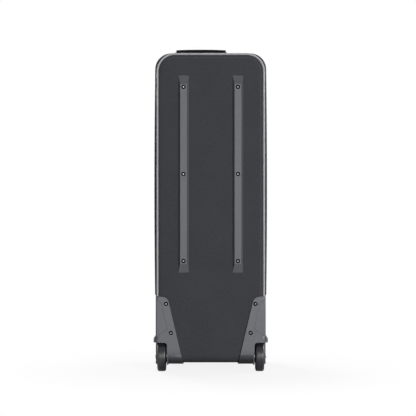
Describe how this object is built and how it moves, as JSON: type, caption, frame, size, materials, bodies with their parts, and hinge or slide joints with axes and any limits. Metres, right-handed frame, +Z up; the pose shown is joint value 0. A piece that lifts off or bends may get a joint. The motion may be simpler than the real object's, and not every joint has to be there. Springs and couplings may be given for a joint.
{
  "type": "ball launcher",
  "caption": "Ball launcher built into a tall wheeled fabric case, with a zipped loading hatch, feed star, flywheels, ball port, controls and telescopic pull handle.",
  "frame": {"origin": "on the floor, in the middle of the overall box, between the wheels and the front feet", "axes": "+Z up, +Y towards the ball port at the front, +X to the right seen from behind"},
  "size_m": [0.2964, 0.29, 0.8375],
  "materials": {
    "fabric": "woven polyester, charcoal",
    "piping": "satin",
    "grey_plastic": "fine moulded grain",
    "black_plastic": "matte",
    "pale_plastic": "matte",
    "tyre_rubber": "matte",
    "flywheel_rubber": "matte",
    "zip_tape": "woven tape with coil",
    "screw_steel": "polished",
    "tube_alloy": "satin",
    "motor_steel": "brushed",
    "circuit_board": "lacquered"
  },
  "bodies": {
    "case": {"back_panel": "fabric", "left_side_wall": "fabric", "right_side_wall": "fabric", "top_wall": "fabric", "front_panel": "fabric", "back_piping": "piping", "front_piping": "piping", "left_skid_rail": "grey_plastic", "right_skid_rail": "grey_plastic", "left_wheel_housing": "grey_plastic", "right_wheel_housing": "grey_plastic", "front_fascia": "grey_plastic", "handle_bezel": "black_plastic", "front_feet": "black_plastic", "sleeve_bracket": "black_plastic", "back_board": "black_plastic", "hopper_back_wall": "black_plastic", "hopper_floor": "black_plastic", "feeder_bowl": "black_plastic", "launch_barrel": "black_plastic", "bottom_tray": "black_plastic", "battery_pack": "black_plastic", "feed_chute": "pale_plastic", "frame_zip": "zip_tape", "rail_screws": "screw_steel", "housing_screws": "screw_steel", "fascia_screws": "screw_steel", "foot_screws": "screw_steel", "axle_nuts": "screw_steel", "axles": "screw_steel", "flywheel_bearings": "screw_steel", "tie_rods": "screw_steel", "handle_sleeves": "tube_alloy", "left_chassis_plate": "tube_alloy", "right_chassis_plate": "tube_alloy", "upper_motor": "motor_steel", "lower_motor": "motor_steel", "feed_motor": "motor_steel", "control_board": "circuit_board"},
    "left_wheel": {"left_tyre": "tyre_rubber", "left_hub": "black_plastic", "left_bearings": "screw_steel"},
    "right_wheel": {"right_tyre": "tyre_rubber", "right_hub": "black_plastic", "right_bearings": "screw_steel"},
    "pull_handle": {"handle_grip": "black_plastic", "handle_tubes": "tube_alloy"},
    "handle_button": {"release_button": "pale_plastic"},
    "hatch": {"hatch_panel": "fabric", "hatch_zip": "zip_tape"},
    "slider": {"zip_slider": "screw_steel"},
    "pull_tab": {"zip_pull": "screw_steel"},
    "upper_roller": {"upper_flywheel": "flywheel_rubber", "upper_flywheel_hub": "tube_alloy"},
    "lower_roller": {"lower_flywheel": "flywheel_rubber", "lower_flywheel_hub": "tube_alloy"},
    "ball_feeder": {"feed_star": "pale_plastic"},
    "left_dial": {"speed_dial": "black_plastic"},
    "right_dial": {"feed_dial": "black_plastic"},
    "power_switch": {"power_rocker": "black_plastic"}
  },
  "joints": [
    {"name": "left_wheel_spin", "type": "hinge", "parent": "case", "child": "left_wheel", "pos_m": [-0.12745, -0.105, 0.04], "axis": [1, 0, 0], "continuous": true},
    {"name": "right_wheel_spin", "type": "hinge", "parent": "case", "child": "right_wheel", "pos_m": [0.12745, -0.105, 0.04], "axis": [1, 0, 0], "continuous": true},
    {"name": "handle_slide", "type": "slide", "parent": "case", "child": "pull_handle", "axis": [0, 0, 1], "range_m": [0, 0.25]},
    {"name": "release_button_press", "type": "slide", "parent": "pull_handle", "child": "handle_button", "axis": [0, 0, -1], "range_m": [0, 0.002], "stiffness_N_per_m": 300},
    {"name": "hatch_hinge", "type": "hinge", "parent": "case", "child": "hatch", "pos_m": [0, 0.138, 0.6], "axis": [-1, 0, 0], "range_deg": [0, 160]},
    {"name": "zip_slide", "type": "slide", "parent": "hatch", "child": "slider", "axis": [-1, 0, 0], "range_m": [0, 0.1]},
    {"name": "zip_pull_swing", "type": "hinge", "parent": "slider", "child": "pull_tab", "pos_m": [0.05, 0.1426, 0.786], "axis": [1, 0, 0], "range_deg": [0, 150]},
    {"name": "upper_flywheel_spin", "type": "hinge", "parent": "case", "child": "upper_roller", "pos_m": [0, 0.02596, 0.30837], "axis": [1, 0, 0], "continuous": true},
    {"name": "lower_flywheel_spin", "type": "hinge", "parent": "case", "child": "lower_roller", "pos_m": [0, 0.06344, 0.17763], "axis": [1, 0, 0], "continuous": true},
    {"name": "feed_star_spin", "type": "hinge", "parent": "case", "child": "ball_feeder", "pos_m": [0, -0.0004, 0.461], "axis": [0, 0, 1], "continuous": true},
    {"name": "speed_dial_turn", "type": "hinge", "parent": "case", "child": "left_dial", "pos_m": [-0.062, 0.137, 0.378], "axis": [0, 1, 0], "range_deg": [-135, 135]},
    {"name": "feed_dial_turn", "type": "hinge", "parent": "case", "child": "right_dial", "pos_m": [0.062, 0.137, 0.378], "axis": [0, 1, 0], "range_deg": [-135, 135]},
    {"name": "power_rocker_tilt", "type": "hinge", "parent": "case", "child": "power_switch", "pos_m": [0, 0.1333, 0.378], "axis": [1, 0, 0], "range_deg": [0, 16]}
  ]
}
